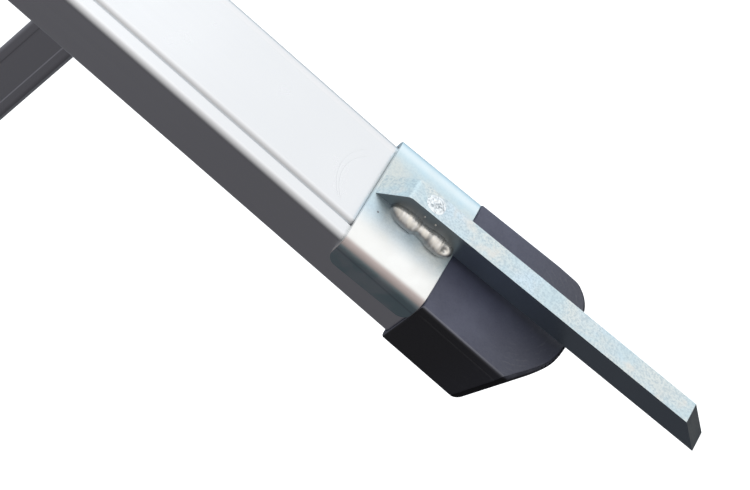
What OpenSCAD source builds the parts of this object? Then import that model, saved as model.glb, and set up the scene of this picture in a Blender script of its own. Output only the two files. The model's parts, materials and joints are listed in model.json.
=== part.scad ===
// Lower end of an aluminium ladder leg with a steel ground-spike stabilizer clamped over it.
// A square bar is welded to a saddle bracket; a stud through bar, bracket and stile is drawn
// tight by a wing nut on the rung side.
// Origin: centre of the stile's section at its sawn upper end. +Z runs up the stile, +Y runs
// inwards along the rung, and the wide face at -Y carries the stabilizer.
// Heights named ..._z are measured up from the lowest point of the rubber sole.

/* [Stile] */
// Width of the stile's two wide faces
stile_w = 63; // [60:1:66]
// Depth of the stile's two narrow faces
stile_d = 28; // [27:1:30]
// Thickness of the stile's walls
stile_wall = 1.8; // [1.5:0.1:2.2]
// Radius of the stile's outer corners
stile_r = 3.3; // [2.6:0.1:4]
// Height of the stile's sawn end above the sole
leg_h = 310; // [290:5:360]
// Depth of the groove beside the raised strip on the outer wide face
groove_depth = 2.2; // [1.9:0.1:2.4]

/* [Rung] */
// Width of the rung across its tread
rung_w = 26; // [24:1:30]
// Height of the rung
rung_h = 23; // [22:1:25]
// Height of the rung's centre line above the sole
rung_z = 252.5; // [250:0.5:262]
// Angle by which the rung's tread is turned to lie level when the ladder leans, in degrees
rung_tilt = 13; // [10:1:16]
// Distance of the rung's sawn end from the stile's centre line
rung_reach = 126; // [100:2:160]

/* [Shoe] */
// Height of the shoe's collar above the sole
collar_z = 65.6; // [64:0.1:65.8]
// Thickness of the collar over the wide faces
collar_wall = 2.6; // [2.2:0.1:2.6]
// Thickness of the rubber sole
sole_t = 4; // [3:0.5:5]
// Radius of the sole's rocker towards the near narrow face
rocker_r = 62; // [56:1:70]

/* [Bracket] */
// Sheet thickness of the bracket
sheet_t = 3; // [2.5:0.5:4]
// Length of the bracket along the stile
bracket_h = 44.4; // [42:0.1:44.6]
// Height of the bracket's upper edge above the sole
bracket_z = 110.4; // [110.3:0.1:112]
// Depth of the bracket's flanges inside the web
flange_d = 13.6; // [11:0.1:18]
// Angle at which the bracket leans out towards its lower end, in degrees
lean = 3; // [3:0.1:3.5]

/* [Spike bar] */
// Side of the square bar
bar_s = 12; // [10:0.5:14]
// Length of the bar from tip to tip
bar_len = 180; // [150:1:220]
// Sideways place of the bar's centre line on the bracket
bar_x = 4; // [0:0.5:6]

/* [Clamp] */
// Thread size of the stud
stud_d = 8; // [8:1:8]
// Gap all round between the stud and the wing nut's bore
stud_play = 0.05; // [0.03:0.01:0.1]
// Length of stud that stands free beyond the tightened wing nut
stud_free = 11; // [10.5:0.5:16]

/* [Hidden] */
$fn = 64;
stile_z0 = 30;
stile_r_in = stile_r - stile_wall;
strip_x = 8.5;
groove_floor_w = 2;
groove_back = 1.4;
groove_back_w = 8;
web_recess = 0.35;
web_near_r = 4;
web_shoulder = 2;
rung_r = 2;
rung_wall = 1.5;
rung_recess = 0.4;
rung_band = 12.5;
rib_groove_w = 1.6;
rib_groove_d = 0.6;
rib_pitch = 4;
bead_t = 2.5;
bead_out = 2.5;
shoe_near_x = -33.4;
shoe_far_x = 38.6;
shoe_far_top_x = 36;
shoe_far_z = 20;
shoe_corner_r = 2.5;
shoe_d = stile_d + 2 * collar_wall;
toe_r = 14;
toe_x = shoe_far_x - toe_r;
rocker_x = 7;
heel_z = 16;
heel_pitch = 31.6;
heel_skew = 11.5;
far_lean = atan((shoe_far_x - shoe_far_top_x) / (collar_z - shoe_far_z));
socket_gap = 0.15;
spigot_w = 56;
spigot_d = 18;
spigot_r = 1.5;
spigot_z = 42;
lip_w = 54;
lip_z = 67.2;
lip_h = 5.6;
lip_t = collar_wall - 0.2;
tread_w = 1.2;
tread_depth = 1.2;
tread_pitch = 2.5;
rocker_treads = 16;
rivet_x = 15;
rivet_z = 45;
rivet_d = 4;
rivet_head_d = 8;
rivet_head_t = 1.4;
rivet_tail_d = 6;
rivet_tail_t = 2;
mandrel_d = 2.1;
mandrel_tail = 1;
mandrel_sunk = 0.6;
slip = 0.3;
bracket_w = stile_w + 2 * (slip + sheet_t);
bend_r = 6;
flange_r = 6;
bar_z = -0.9;
bar_bevel = bar_s;
hole_d = stud_d + 0.4;
stud_x = bar_x;
stud_z = 87;
stud_r = stud_d / 2 - stud_play;
stud_chamfer = 1;
plug_depth = 2.5;
plug_proud = 0.4;
face_rise = (stud_z - bracket_z - (sheet_t + bar_s) * sin(lean)) / cos(lean);
plug_y = -stile_d / 2 - slip - (sheet_t + bar_s) * cos(lean) + face_rise * sin(lean)
    - plug_proud;
spacer_d = 14;
spacer_bore = stud_d + 1;
washer_d = 24;
washer_t = 1.6;
lock_d = 14.8;
lock_bore = stud_d + 0.3;
lock_t = 2;
lock_slot = 1.6;
lock_cut = 20;
nut_h = 8.5;
nut_d1 = 15.5;
nut_d2 = 13;
wing_t = 3;
wing_r = 5.5;
wing_reach = 11.8;
wing_rise = 10;
wing_foot = 1.5;
wing_turn = 25;
washer_y = stile_d / 2;
lock_y = washer_y + washer_t;
nut_y = lock_y + lock_t;
stud_y1 = nut_y + nut_h + stud_free;
big = 400;

// ---- shared shapes and places ----

// A rectangle with round corners, centred
module rounded(w, d, r) {
    square([w - 2 * r, d], center = true);
    square([w, d - 2 * r], center = true);
    for (sx = [-1, 1], sy = [-1, 1])
        translate([sx * (w / 2 - r), sy * (d / 2 - r)])
            circle(r);
}

// Moves what is drawn above the sole into the part's frame
module from_sole() {
    translate([0, 0, -leg_h])
        children();
}

// Extrudes an outline drawn in X and Z along Y, from y0 to y1
module along_y(y0, y1) {
    translate([0, y1, 0])
        rotate([90, 0, 0])
            linear_extrude(y1 - y0)
                children();
}

// A round bar or hole on the stud's axis
module on_stud(d, y0, y1) {
    translate([stud_x, y0, stud_z])
        rotate([-90, 0, 0])
            cylinder(d = d, h = y1 - y0);
}

// The bracket's own frame: z = 0 at its upper edge, y = 0 on the inner side of its web
module at_bracket() {
    translate([0, -stile_d / 2 - slip, bracket_z])
        rotate([-lean, 0, 0])
            children();
}

// ---- ladder leg ----

module stile_outline() {
    edge = -stile_d / 2;
    x0 = -stile_w / 2 + strip_x;
    x1 = stile_w / 2 - stile_r;
    fall = web_near_r - groove_depth + web_recess;
    web_x = x0 + groove_floor_w + sqrt(pow(web_near_r, 2) - pow(fall, 2));
    difference() {
        rounded(stile_w, stile_d, stile_r);
        difference() {
            translate([x0, edge - 1])
                square([web_x - x0, groove_depth + 1]);
            translate([web_x, edge + web_recess + web_near_r])
                circle(web_near_r);
        }
        polygon([[web_x, edge - 1], [web_x, edge + web_recess],
                 [x1 - web_shoulder, edge + web_recess], [x1, edge], [x1, edge - 1]]);
    }
}

// The stile's hollow, with its wall thickened behind the groove
module stile_hollow() {
    x0 = -stile_w / 2 + strip_x;
    difference() {
        rounded(stile_w - 2 * stile_wall, stile_d - 2 * stile_wall, stile_r_in);
        translate([x0 - groove_back, -stile_d / 2])
            square([groove_back_w, groove_depth + groove_back]);
    }
}

module stile() {
    color("gainsboro")
        from_sole()
            difference() {
                translate([0, 0, stile_z0])
                    linear_extrude(leg_h - stile_z0)
                        difference() {
                            stile_outline();
                            stile_hollow();
                        }
                on_stud(spacer_bore, -stile_d, stile_d);
                along_y(0, stile_d)
                    translate([0, rung_z])
                        rotate(-rung_tilt)
                            rounded(rung_w, rung_h, rung_r);
                for (sx = [-1, 1])
                    rivet_axis(sx, rivet_d, 0, stile_d);
            }
}

module rung_outline() {
    difference() {
        rounded(rung_w, rung_h, rung_r);
        for (sx = [-1, 1])
            translate([sx * rung_w / 2, 0])
                square([2 * rung_recess, rung_band], center = true);
        for (sy = [-1, 1], i = [-1.5:1:1.5])
            translate([i * rib_pitch, sy * rung_h / 2])
                square([rib_groove_w, 2 * rib_groove_d], center = true);
    }
}

// The swaged bead that holds the rung on one side of the stile's wall
module rung_bead(y0) {
    along_y(y0, y0 + bead_t)
        rounded(rung_w + 2 * bead_out, rung_h + 2 * bead_out, rung_r + bead_out);
}

module rung() {
    wall_in = stile_d / 2 - stile_wall;
    color("silver")
        from_sole()
            translate([0, 0, rung_z])
                rotate([0, rung_tilt, 0])
                    difference() {
                        union() {
                            along_y(wall_in - bead_t, rung_reach)
                                rung_outline();
                            rung_bead(wall_in - bead_t);
                            rung_bead(stile_d / 2);
                        }
                        along_y(0, rung_reach + 1)
                            rounded(rung_w - 2 * (rung_recess + rung_wall),
                                    rung_h - 2 * (rib_groove_d + rung_wall),
                                    rung_r - rung_wall);
                    }
}

// ---- shoe ----

// The outline in X and Z above the sole's line, raised by inset
module above_sole_line(inset) {
    intersection() {
        translate([rocker_x, rocker_r])
            circle(rocker_r - inset, $fn = 180);
        translate([rocker_x - big / 2, 0])
            square([big / 2, big / 2]);
    }
    translate([rocker_x, inset])
        square([toe_x - rocker_x, big / 2]);
    translate([toe_x, toe_r])
        circle(toe_r - inset);
    translate([toe_x, toe_r])
        square([big / 4, big / 2]);
}

// Everything above the rocking, skewed underside, raised by inset
module above_sole(inset) {
    intersection() {
        along_y(-big / 4, big / 4)
            above_sole_line(inset);
        translate([shoe_near_x, -shoe_d / 2, heel_z])
            rotate([heel_skew, heel_pitch, 0])
                translate([-big / 2, -big / 2, inset])
                    cube([big, big, big / 2]);
    }
}

// The shoe's outside: upright on the near side, leaning in towards the top on the far side
module shoe_block() {
    near_w = toe_x - shoe_near_x;
    far_w = shoe_far_x;
    translate([shoe_near_x + near_w / 2, 0, 0])
        linear_extrude(collar_z)
            rounded(near_w, shoe_d, shoe_corner_r);
    intersection() {
        translate([shoe_far_x, 0, shoe_far_z])
            rotate([0, -far_lean, 0])
                translate([-far_w / 2, 0, -2 * shoe_far_z])
                    linear_extrude(collar_z + shoe_far_z)
                        rounded(far_w, shoe_d, shoe_corner_r);
        translate([-big / 2, -big / 2, 0])
            cube([big, big, collar_z]);
    }
}

module shoe_body() {
    color("#2b2c31")
        from_sole()
            difference() {
                union() {
                    intersection() {
                        shoe_block();
                        above_sole(sole_t);
                    }
                    translate([-lip_w / 2, -stile_d / 2 - lip_t, lip_z - lip_h])
                        cube([lip_w, lip_t, lip_h]);
                }
                difference() {
                    translate([0, 0, stile_z0])
                        linear_extrude(leg_h)
                            rounded(stile_w + 2 * socket_gap, stile_d + 2 * socket_gap,
                                    stile_r + socket_gap);
                    translate([0, 0, stile_z0 - 1])
                        linear_extrude(spigot_z - stile_z0 + 1)
                            rounded(spigot_w, spigot_d, spigot_r);
                }
                for (sx = [-1, 1])
                    rivet_axis(sx, rivet_d, stile_d / 2 - 1, stile_d);
            }
}

// One groove across the sole's underside, cut upwards from z = 0
module tread_groove() {
    translate([-tread_w / 2, -shoe_d, -1])
        cube([tread_w, 2 * shoe_d, 1 + tread_depth]);
}

module tread_sole() {
    color("#1b1c1f")
        from_sole()
            difference() {
                intersection() {
                    shoe_block();
                    above_sole(0);
                }
                above_sole(sole_t);
                for (x = [rocker_x + tread_pitch / 2:tread_pitch:toe_x])
                    translate([x, 0, 0])
                        tread_groove();
                for (i = [0:rocker_treads - 1])
                    translate([rocker_x, 0, rocker_r])
                        rotate([0, (i + 0.5) * tread_pitch / rocker_r * 180 / PI, 0])
                            translate([0, 0, -rocker_r])
                                tread_groove();
            }
}

// A round bar or hole on the axis of one shoe rivet
module rivet_axis(side, d, y0, y1) {
    translate([side * rivet_x, y0, rivet_z])
        rotate([-90, 0, 0])
            cylinder(d = d, h = y1 - y0);
}

module shoe_rivets() {
    wall_in = stile_d / 2 - stile_wall;
    face = shoe_d / 2;
    head_r = (pow(rivet_head_d / 2, 2) + pow(rivet_head_t, 2)) / (2 * rivet_head_t);
    color("darkgray")
        from_sole()
            for (sx = [-1, 1])
                difference() {
                    union() {
                        rivet_axis(sx, rivet_d, wall_in - rivet_tail_t, face);
                        rivet_axis(sx, rivet_tail_d, wall_in - rivet_tail_t, wall_in);
                        intersection() {
                            translate([sx * rivet_x, face + rivet_head_t - head_r, rivet_z])
                                sphere(head_r);
                            rivet_axis(sx, rivet_head_d, face, face + rivet_head_t);
                        }
                    }
                    rivet_axis(sx, mandrel_d, 0, big);
                }
}

module rivet_mandrels() {
    wall_in = stile_d / 2 - stile_wall;
    color("dimgray")
        from_sole()
            for (sx = [-1, 1])
                rivet_axis(sx, mandrel_d, wall_in - rivet_tail_t - mandrel_tail,
                           shoe_d / 2 + rivet_head_t - mandrel_sunk);
}

// ---- stabilizer ----

module bracket_section() {
    deep = 4 * flange_d;
    intersection() {
        difference() {
            translate([0, deep / 2 - sheet_t])
                rounded(bracket_w, deep, bend_r);
            translate([0, deep / 2])
                rounded(bracket_w - 2 * sheet_t, deep, bend_r - sheet_t);
        }
        translate([-bracket_w, -2 * sheet_t])
            square([2 * bracket_w, flange_d + 2 * sheet_t]);
    }
}

// The side view of a flange, with its two free corners rounded
module flange_outline() {
    low = -2 * sheet_t;
    translate([low, -bracket_h])
        square([flange_d - flange_r - low, bracket_h]);
    translate([low, flange_r - bracket_h])
        square([flange_d - low, bracket_h - 2 * flange_r]);
    for (z = [-flange_r, flange_r - bracket_h])
        translate([flange_d - flange_r, z])
            circle(flange_r);
}

module bracket() {
    color("#b9c6cb")
        from_sole()
            difference() {
                at_bracket()
                    intersection() {
                        translate([0, 0, -bracket_h])
                            linear_extrude(bracket_h)
                                bracket_section();
                        translate([-bracket_w, 0, 0])
                            rotate([90, 0, 90])
                                linear_extrude(2 * bracket_w)
                                    flange_outline();
                    }
                on_stud(hole_d, -stile_d, 0);
            }
}

module spike_bar() {
    face = -sheet_t;
    color("#aebcc4")
        from_sole()
            difference() {
                at_bracket()
                    translate([bar_x - bar_s / 2, 0, bar_z])
                        rotate([90, 0, 90])
                            linear_extrude(bar_s)
                                polygon([[face, 0], [face - bar_s, -bar_bevel],
                                         [face - bar_s, bar_bevel - bar_len],
                                         [face, -bar_len]]);
                on_stud(hole_d, -2 * stile_d, 0);
            }
}

// One run of weld in the corner between web and bar: rounded lobes [centre z, length, radius]
module weld_run(side, lobes) {
    root_x = bar_x + side * bar_s / 2;
    color("#a9a294")
        from_sole()
            at_bracket()
                intersection() {
                    translate([root_x, -sheet_t, 0])
                        for (lobe = lobes) {
                            translate([0, 0, lobe[0] - lobe[1] / 2])
                                cylinder(r = lobe[2], h = lobe[1]);
                            for (end = [-1, 1])
                                translate([0, 0, lobe[0] + end * lobe[1] / 2])
                                    sphere(lobe[2]);
                        }
                    translate([side > 0 ? root_x : root_x - big, -sheet_t - big, -big])
                        cube(big);
                }
}

module weld_bead_near() {
    weld_run(-1, [[-18, 3, 5.8], [-27, 8, 4], [-36.5, 4, 5.8]]);
}

module weld_bead_far() {
    weld_run(1, [[-18, 8, 4.2], [-33, 14, 4.6]]);
}

module plug_weld() {
    color("#c6ccce")
        from_sole()
            on_stud(hole_d, plug_y, plug_y + plug_depth);
}

module clamp_stud() {
    color("#b4b8ba")
        from_sole() {
            on_stud(2 * stud_r, plug_y + plug_depth, stud_y1 - stud_chamfer);
            translate([stud_x, stud_y1 - stud_chamfer, stud_z])
                rotate([-90, 0, 0])
                    cylinder(r1 = stud_r, r2 = stud_r - stud_chamfer, h = stud_chamfer);
        }
}

// ---- clamp ----

module ring(d_out, d_in, y0, y1) {
    difference() {
        on_stud(d_out, y0, y1);
        on_stud(d_in, y0 - 1, y1 + 1);
    }
}

module spacer_tube() {
    wall_in = stile_d / 2 - stile_wall;
    color("darkgray")
        from_sole()
            ring(spacer_d, spacer_bore, -wall_in, wall_in);
}

module washer() {
    color("#c3c8ca")
        from_sole()
            ring(washer_d, hole_d, washer_y, lock_y);
}

module lock_washer() {
    color("#8f979b")
        from_sole()
            difference() {
                ring(lock_d, lock_bore, lock_y, nut_y);
                translate([stud_x, lock_y + lock_t / 2, stud_z + lock_d / 2])
                    rotate([0, 0, lock_cut])
                        cube([lock_slot, 4 * lock_t, lock_d], center = true);
            }
}

module wing_nut() {
    color("#b7bcbf")
        from_sole()
            translate([stud_x, nut_y, stud_z])
                difference() {
                    union() {
                        rotate([-90, 0, 0])
                            cylinder(d1 = nut_d1, d2 = nut_d2, h = nut_h);
                        for (turn = [wing_turn, wing_turn + 180])
                            rotate([0, turn, 0])
                                wing();
                    }
                    rotate([-90, 0, 0])
                        translate([0, 0, -1])
                            cylinder(r = stud_d / 2, h = nut_h + 2);
                }
}

// One wing of the nut, reaching out along X and rising along its axis
module wing() {
    root = stud_d / 2 + 1;
    linear_extrude(wing_t, center = true) {
        translate([wing_reach, wing_rise])
            circle(wing_r);
        polygon([[root, wing_foot], [wing_reach + 2, wing_rise - wing_r + 0.5],
                 [wing_reach - 3, wing_rise + wing_r - 1], [root, nut_h]]);
    }
}

stile();
rung();
shoe_body();
tread_sole();
shoe_rivets();
rivet_mandrels();
bracket();
spike_bar();
weld_bead_near();
weld_bead_far();
plug_weld();
clamp_stud();
spacer_tube();
washer();
lock_washer();
wing_nut();
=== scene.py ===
import json
import math

import bmesh
import bpy
from mathutils import Matrix, Vector, noise


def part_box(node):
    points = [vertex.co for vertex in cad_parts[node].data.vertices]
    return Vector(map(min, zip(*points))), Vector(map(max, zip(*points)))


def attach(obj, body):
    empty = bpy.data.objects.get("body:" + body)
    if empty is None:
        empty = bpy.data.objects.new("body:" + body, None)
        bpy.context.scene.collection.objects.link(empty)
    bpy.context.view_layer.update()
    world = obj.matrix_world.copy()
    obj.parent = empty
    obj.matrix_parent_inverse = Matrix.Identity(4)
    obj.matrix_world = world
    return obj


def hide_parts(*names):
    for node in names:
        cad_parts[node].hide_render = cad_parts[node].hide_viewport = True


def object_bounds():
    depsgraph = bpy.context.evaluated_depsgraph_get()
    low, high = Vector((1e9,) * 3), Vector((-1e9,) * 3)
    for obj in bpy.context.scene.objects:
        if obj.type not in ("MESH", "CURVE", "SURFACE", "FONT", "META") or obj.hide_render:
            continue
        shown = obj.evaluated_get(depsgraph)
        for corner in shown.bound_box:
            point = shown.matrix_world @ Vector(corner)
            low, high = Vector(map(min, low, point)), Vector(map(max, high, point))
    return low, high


# Looks of a ladder leg with a clamped ground spike. Every mesh is made in the frame of the CAD
# model: +Z up the stile, +Y along the rung, -Y out of the face that carries the stabilizer.
# Sizes in the code are millimetres, and MM turns them into the scene's metres.

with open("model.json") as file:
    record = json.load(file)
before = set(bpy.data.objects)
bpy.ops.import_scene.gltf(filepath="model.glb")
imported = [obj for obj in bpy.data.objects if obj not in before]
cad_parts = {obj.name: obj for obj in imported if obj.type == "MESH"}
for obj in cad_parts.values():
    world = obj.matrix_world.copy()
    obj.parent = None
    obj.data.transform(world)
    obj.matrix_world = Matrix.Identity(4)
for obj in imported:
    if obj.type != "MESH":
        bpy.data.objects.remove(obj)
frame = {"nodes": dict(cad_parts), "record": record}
cad_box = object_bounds()
scene = bpy.context.scene
MM = 0.001


def box_mm(node):
    """Lowest and highest corner of a CAD node, in millimetres."""
    low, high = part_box(node)
    return low / MM, high / MM


# ---------------------------------------------------------------- driving dimensions

STILE_LOW, STILE_HIGH = box_mm("stile")
RUNG_LOW, RUNG_HIGH = box_mm("rung")
SHOE_LOW, SHOE_HIGH = box_mm("shoe_body")
SOLE_LOW, _ = box_mm("tread_sole")
BRACKET_LOW, BRACKET_HIGH = box_mm("bracket")
STUD_LOW, STUD_HIGH = box_mm("clamp_stud")
NUT_LOW, NUT_HIGH = box_mm("wing_nut")
MANDREL_LOW, MANDREL_HIGH = box_mm("rivet_mandrels")

SOLE_Z = SOLE_LOW.z                     # the lowest point of the sole
STILE_WALL = 1.8
STILE_RADIUS = 3.3
RUNG_BEAD = 2.5                         # the swaged beads stand this far out of the rung
RUNG_WIDE, RUNG_TALL, RUNG_CORNER = 26.0, 23.0, 2.0
RUNG_TILT = math.radians(13)            # its tread lies level when the ladder leans
RUNG_Z = (RUNG_LOW.z + RUNG_HIGH.z) / 2
MANDREL_RADIUS = (MANDREL_HIGH.z - MANDREL_LOW.z) / 2
RIVET_X = MANDREL_HIGH.x - MANDREL_RADIUS
RIVET_Z = MANDREL_HIGH.z - MANDREL_RADIUS
STUD_X = (STUD_LOW.x + STUD_HIGH.x) / 2
STUD_Z = (STUD_LOW.z + STUD_HIGH.z) / 2
STUD_RADIUS = (STUD_HIGH.x - STUD_LOW.x) / 2
HOLE_RADIUS = 4.2                       # of the holes in bracket and bar
SHEET = 3.0                             # thickness of the bracket
LEAN = math.radians(3)                  # of the bracket and its bar
BRACKET_LENGTH = 44.4
SLIP = 0.3                              # between bracket and stile
BAR_SIDE = 12.0
BAR_LENGTH = 180.0
BAR_X = STUD_X                          # the bar's centre line lies over the stud
BAR_TOP = -0.9                          # of the bar's upper tip below the bracket's edge
BAR_FACE = -SHEET - BAR_SIDE            # the bar's outer face, from the inside of the web

# The bracket's own frame: z = 0 at its upper edge, y = 0 on the inside of its web
BRACKET_FRAME = Matrix.Translation(
    Vector((0, STILE_LOW.y - SLIP, BRACKET_HIGH.z - SHEET * math.sin(LEAN))) * MM
) @ Matrix.Rotation(-LEAN, 4, "X")


# ---------------------------------------------------------------- mesh helpers

def upright(u, v, w):
    """An outline in X and Y, carried up along Z."""
    return Vector((u, v, w)) * MM


def inwards(u, v, w):
    """An outline in X and Z, carried along Y."""
    return Vector((u, w, v)) * MM


def along_rung(u, v, w):
    """An outline across the tilted rung, carried along Y."""
    x = u * math.cos(RUNG_TILT) + v * math.sin(RUNG_TILT)
    z = v * math.cos(RUNG_TILT) - u * math.sin(RUNG_TILT)
    return Vector((x, w, RUNG_Z + z)) * MM


def across_bracket(u, v, w):
    """An outline in the bracket's Y and Z, carried across it along X."""
    return BRACKET_FRAME @ (Vector((w, u, v)) * MM)


def outline(corners, steps=5, runs=None):
    """A closed outline through corners (x, y, radius), with each corner turned by a round arc.

    runs gives how many pieces the straight run after each corner is divided into.
    """
    arcs = []
    for i, (x, y, radius) in enumerate(corners):
        here = Vector((x, y))
        before = (Vector(corners[i - 1][:2]) - here).normalized()
        after = (Vector(corners[(i + 1) % len(corners)][:2]) - here).normalized()
        half = before.angle(after) / 2
        cut = radius / math.tan(half)
        middle = here + (before + after).normalized() * (radius / math.sin(half))
        first, last = here + before * cut - middle, here + after * cut - middle
        turn = math.atan2(first.x * last.y - first.y * last.x, first.dot(last))
        if radius == 0:
            arcs.append([here])
            continue
        arcs.append([middle + Matrix.Rotation(turn * k / steps, 2) @ first
                     for k in range(steps + 1)])
    points = []
    for i, arc in enumerate(arcs):
        points += arc
        pieces = runs[i] if runs else 1
        points += [arc[-1].lerp(arcs[(i + 1) % len(arcs)][0], k / pieces)
                   for k in range(1, pieces)]
    return points


def rectangle(low, high, radius):
    """Corners of an upright rectangle with round corners, counterclockwise from the lowest."""
    return [(low[0], low[1], radius), (high[0], low[1], radius),
            (high[0], high[1], radius), (low[0], high[1], radius)]


def to_object(name, mesh_data):
    """Turns a bmesh into an object of its own, with its faces looking outwards."""
    bmesh.ops.recalc_face_normals(mesh_data, faces=mesh_data.faces[:])
    mesh = bpy.data.meshes.new(name)
    mesh_data.to_mesh(mesh)
    mesh_data.free()
    obj = bpy.data.objects.new(name, mesh)
    scene.collection.objects.link(obj)
    return obj


def prism(name, loops, place, low, high):
    """A solid of constant section: the first outline is its outside, the others are holes."""
    work = bmesh.new()
    ends = []
    for w in (low, high):
        rings = [[work.verts.new(place(u, v, w)) for u, v in loop] for loop in loops]
        edges = [work.edges.new((ring[i - 1], ring[i])) for ring in rings for i in range(len(ring))]
        bmesh.ops.triangle_fill(work, edges=edges, use_beauty=True)
        ends.append(rings)
    for lower, upper in zip(*ends):
        for i in range(len(lower)):
            work.faces.new((lower[i - 1], lower[i], upper[i], upper[i - 1]))
    return to_object(name, work)


def loft(name, rings):
    """A closed skin through rings with equal numbers of points, capped at both ends."""
    work = bmesh.new()
    made = [[work.verts.new(point) for point in ring] for ring in rings]
    for near, far in zip(made, made[1:]):
        for i in range(len(near)):
            work.faces.new((near[i - 1], near[i], far[i], far[i - 1]))
    work.faces.new(made[0])
    work.faces.new(made[-1])
    bmesh.ops.remove_doubles(work, verts=work.verts[:], dist=0.0005 * MM)
    return to_object(name, work)


def settle(obj):
    """Applies the object's modifiers to its mesh."""
    graph = bpy.context.evaluated_depsgraph_get()
    mesh = bpy.data.meshes.new_from_object(obj.evaluated_get(graph))
    obj.modifiers.clear()
    obj.data = mesh
    return obj


def modify(obj, kind, **settings):
    """Adds one modifier with these settings and applies it."""
    modifier = obj.modifiers.new(kind, kind)
    for key, value in settings.items():
        setattr(modifier, key, value)
    return settle(obj)


def combine(obj, other, operation="DIFFERENCE", solver="EXACT"):
    """Cuts other out of obj, or joins it on, and removes other."""
    modify(obj, "BOOLEAN", object=other, operation=operation, solver=solver)
    bpy.data.objects.remove(other)
    return obj


def soften(obj, width, segments=3, angle=40):
    """Rounds the edges that turn by more than angle."""
    return modify(obj, "BEVEL", width=width * MM, segments=segments, limit_method="ANGLE",
                  angle_limit=math.radians(angle), use_clamp_overlap=True,
                  harden_normals=False)


def drill(obj, x, z, radius, low, high):
    """Drills a round hole along Y."""
    circle = [(x + radius * math.cos(a), z + radius * math.sin(a))
              for a in (k * math.tau / 64 for k in range(64))]
    return combine(obj, prism("drill", [circle], inwards, low, high))


def dress(obj, body, slot, node, smooth=32):
    """Shades a finished piece, gives it its material and hangs it on the frame."""
    obj.data.shade_smooth()
    obj.data.set_sharp_from_angle(angle=math.radians(smooth))
    modify(obj, "WEIGHTED_NORMAL", keep_sharp=True)
    obj.data.materials.clear()
    obj.data.materials.append(MATERIALS[slot])
    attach(obj, body)
    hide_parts(node)
    return obj


def rough(point, size, seed=0.0):
    """Smooth noise from -1 to 1 with features of about this size in millimetres."""
    return noise.noise(Vector(point) / size + Vector((seed, 2 * seed, 3 * seed)))


# ---------------------------------------------------------------- materials

class Shader:
    """A Principled material with short names for the nodes that the materials share."""

    def __init__(self, name, **sockets):
        self.material = bpy.data.materials.new(name)
        self.material.use_nodes = True
        self.tree = self.material.node_tree
        self.surface = self.tree.nodes["Principled BSDF"]
        for socket, value in sockets.items():
            self.surface.inputs[socket.replace("_", " ")].default_value = value
        self.place = self.add("ShaderNodeTexCoord").outputs["Object"]
        self.bumps = None

    def add(self, kind, **settings):
        node = self.tree.nodes.new(kind)
        for key, value in settings.items():
            setattr(node, key, value)
        return node

    def feed(self, socket, value):
        """Sets a socket to a number or a colour, or links an output to it."""
        if isinstance(value, bpy.types.NodeSocket):
            self.tree.links.new(value, socket)
        else:
            socket.default_value = value

    def stretched(self, scale):
        node = self.add("ShaderNodeMapping")
        self.feed(node.inputs["Vector"], self.place)
        node.inputs["Scale"].default_value = scale
        return node.outputs["Vector"]

    def noise(self, scale, detail=3.0, roughness=0.55, stretch=(1, 1, 1), distortion=0.0):
        node = self.add("ShaderNodeTexNoise")
        self.feed(node.inputs["Vector"], self.stretched(stretch))
        node.inputs["Scale"].default_value = scale
        node.inputs["Detail"].default_value = detail
        node.inputs["Roughness"].default_value = roughness
        node.inputs["Distortion"].default_value = distortion
        return node.outputs["Fac"]

    def math(self, operation, a, b=0.0, clamp=False):
        node = self.add("ShaderNodeMath", operation=operation, use_clamp=clamp)
        self.feed(node.inputs[0], a)
        self.feed(node.inputs[1], b)
        return node.outputs[0]

    def span(self, value, low, high, to_low=0.0, to_high=1.0):
        """Maps low..high smoothly to to_low..to_high."""
        node = self.add("ShaderNodeMapRange", interpolation_type="SMOOTHSTEP")
        for socket, number in zip(node.inputs, (value, low, high, to_low, to_high)):
            self.feed(socket, number)
        return node.outputs["Result"]

    def axis(self, name):
        node = self.add("ShaderNodeSeparateXYZ")
        self.feed(node.inputs[0], self.place)
        return node.outputs[name]

    def facing(self, name):
        """One component of the surface's normal in the object's own frame."""
        geometry = self.add("ShaderNodeNewGeometry")
        node = self.add("ShaderNodeSeparateXYZ")
        self.feed(node.inputs[0], geometry.outputs["Normal"])
        return node.outputs[name]

    def distance(self, centre, squash=(1, 1, 1)):
        """Distance from a place given in millimetres, in metres."""
        node = self.add("ShaderNodeVectorMath", operation="SUBTRACT")
        self.feed(node.inputs[0], self.place)
        node.inputs[1].default_value = Vector(centre) * MM
        scaled = self.add("ShaderNodeVectorMath", operation="MULTIPLY")
        self.feed(scaled.inputs[0], node.outputs[0])
        scaled.inputs[1].default_value = squash
        length = self.add("ShaderNodeVectorMath", operation="LENGTH")
        self.feed(length.inputs[0], scaled.outputs[0])
        return length.outputs["Value"]

    def mix(self, factor, a, b, blend="MIX"):
        node = self.add("ShaderNodeMix", data_type="RGBA", blend_type=blend)
        self.feed(node.inputs["Factor"], factor)
        for socket, value in ((node.inputs[6], a), (node.inputs[7], b)):
            self.feed(socket, (*value, 1) if isinstance(value, tuple) else value)
        return node.outputs[2]

    def colour(self, value):
        self.feed(self.surface.inputs["Base Color"], value)

    def rough(self, value):
        self.feed(self.surface.inputs["Roughness"], value)

    def bump(self, height, depth):
        """Adds relief: depth is how far, in millimetres, a height of 1 stands out."""
        node = self.add("ShaderNodeBump")
        node.inputs["Strength"].default_value = 1.0
        node.inputs["Distance"].default_value = depth * MM
        self.feed(node.inputs["Height"], height)
        if self.bumps:
            self.feed(node.inputs["Normal"], self.bumps)
        self.bumps = node.outputs["Normal"]
        self.feed(self.surface.inputs["Normal"], self.bumps)


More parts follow.
